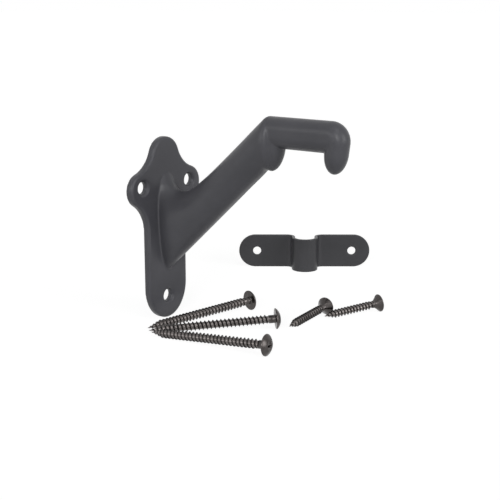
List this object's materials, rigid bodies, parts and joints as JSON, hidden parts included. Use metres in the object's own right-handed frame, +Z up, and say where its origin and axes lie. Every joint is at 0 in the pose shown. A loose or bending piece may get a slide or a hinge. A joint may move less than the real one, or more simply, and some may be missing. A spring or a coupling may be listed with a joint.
{
  "type": "handrail bracket",
  "caption": "Wall bracket that carries a handrail: a screw-on plate, a slanting arm and a bar with rounded lobes, with its loose bent strap and wood screws.",
  "frame": {"origin": "centre of the wall plate's back face, level with the middle of the plate's height", "axes": "+X along the handrail, +Y into the wall, +Z up; the arm reaches out along -Y"},
  "size_m": [0.1771, 0.1373, 0.1026],
  "materials": {
    "casting": "matt powder coat",
    "strap_coat": "matt powder coat",
    "screw_steel": "dark polished"
  },
  "bodies": {
    "root": {"bracket": "casting", "strap": "strap_coat", "wall_screw_back": "screw_steel", "wall_screw_middle": "screw_steel", "wall_screw_front": "screw_steel", "strap_screw_near": "screw_steel", "strap_screw_far": "screw_steel"}
  },
  "joints": []
}
